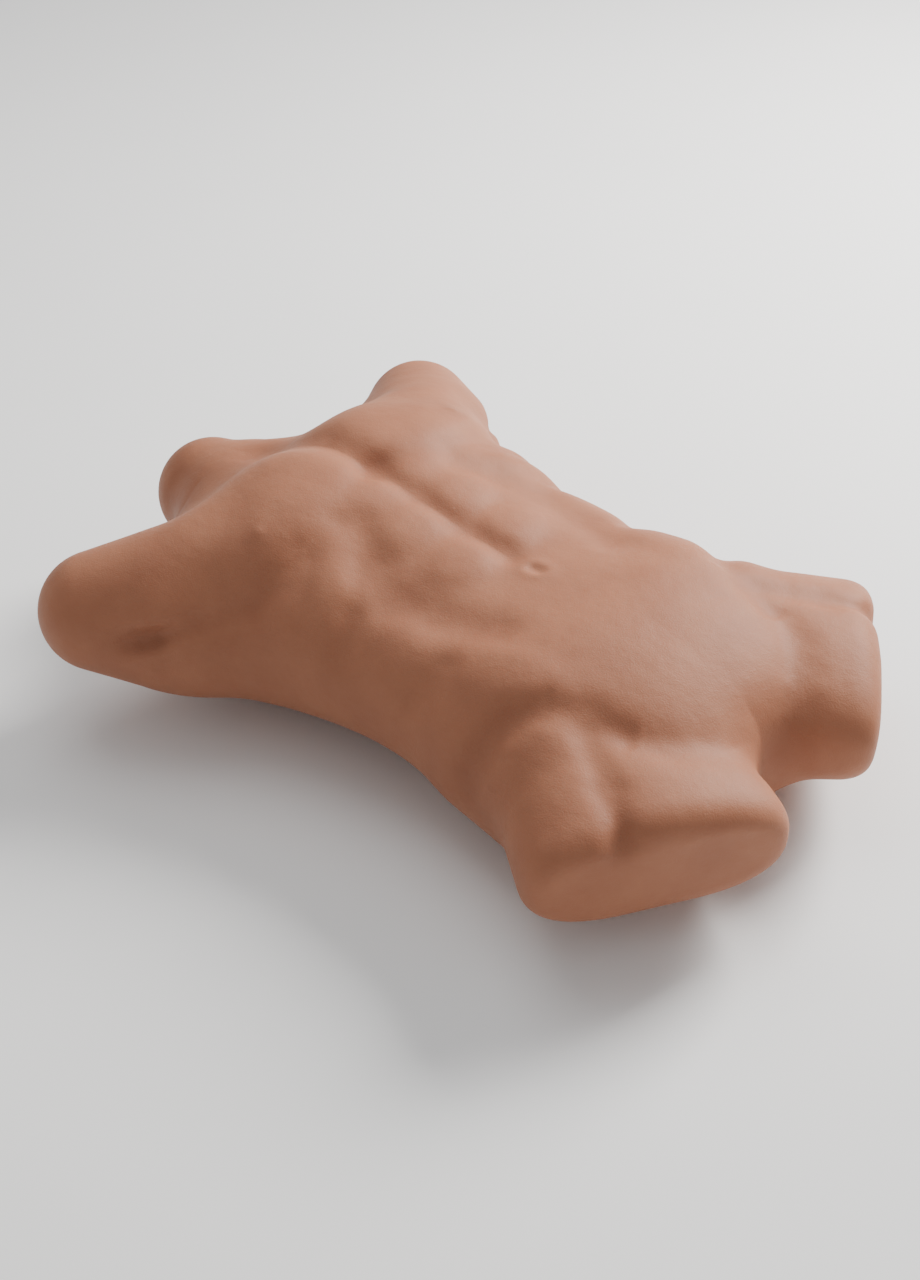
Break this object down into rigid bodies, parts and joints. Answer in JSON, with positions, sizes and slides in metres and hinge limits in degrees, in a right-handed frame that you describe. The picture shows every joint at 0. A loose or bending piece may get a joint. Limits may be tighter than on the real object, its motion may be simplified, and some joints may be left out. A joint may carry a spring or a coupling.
{
  "type": "torso mannequin",
  "caption": "Headless male torso mannequin with short arm and thigh stumps and a smooth pelvis, lying on its back, with a soft skin over foam and a jointed steel frame.",
  "frame": {"origin": "on the floor plane, under the middle of the bounding box", "axes": "+X to the mannequin's left, +Y along the spine to the neck, +Z out of the chest; it lies on its back"},
  "size_m": [0.4446, 0.6342, 0.191],
  "materials": {
    "elastomer_skin": "soft matte brown thermoplastic elastomer, slightly translucent",
    "foam_core": "open-cell polyurethane foam",
    "frame_steel": "satin black powder coat on steel tube",
    "zinc_fastener": "zinc plated"
  },
  "bodies": {
    "arm_left": {"arm_disc_left": "frame_steel", "arm_foam_left": "foam_core", "arm_rod_left": "frame_steel", "arm_skin_left": "elastomer_skin"},
    "arm_right": {"arm_disc_right": "frame_steel", "arm_foam_right": "foam_core", "arm_rod_right": "frame_steel", "arm_skin_right": "elastomer_skin"},
    "chest": {"chest_foam": "foam_core", "chest_skin": "elastomer_skin", "neck_disc": "frame_steel", "neck_post": "frame_steel", "shoulder_bar_left": "frame_steel", "shoulder_bar_right": "frame_steel", "shoulder_bolt_left": "zinc_fastener", "shoulder_bolt_right": "zinc_fastener", "shoulder_hub": "frame_steel", "shoulder_nut_left": "zinc_fastener", "shoulder_nut_right": "zinc_fastener", "shoulder_washer_back_left": "zinc_fastener", "shoulder_washer_back_right": "zinc_fastener", "shoulder_washer_front_left": "zinc_fastener", "shoulder_washer_front_right": "zinc_fastener", "spine_tube": "frame_steel"},
    "pelvis": {"pelvis_foam": "foam_core", "pelvis_frame": "frame_steel", "pelvis_skin": "elastomer_skin", "thigh_clamp_screw_left": "zinc_fastener", "thigh_clamp_screw_right": "zinc_fastener", "thigh_disc_left": "frame_steel", "thigh_disc_right": "frame_steel", "thigh_rod_left": "frame_steel", "thigh_rod_right": "frame_steel", "waist_bolt": "zinc_fastener", "waist_nut": "zinc_fastener", "waist_washer_left": "zinc_fastener", "waist_washer_right": "zinc_fastener"}
  },
  "joints": [
    {"name": "waist_bend", "type": "hinge", "parent": "pelvis", "child": "chest", "pos_m": [0, -0.03, 0.082], "axis": [1, 0, 0], "range_deg": [0, 25]},
    {"name": "shoulder_left_swing", "type": "hinge", "parent": "chest", "child": "arm_left", "pos_m": [0.143, 0.165, 0.082], "axis": [0, 0, 1], "range_deg": [-20, 20]},
    {"name": "shoulder_right_swing", "type": "hinge", "parent": "chest", "child": "arm_right", "pos_m": [-0.143, 0.165, 0.082], "axis": [0, 0, -1], "range_deg": [-20, 20]}
  ]
}
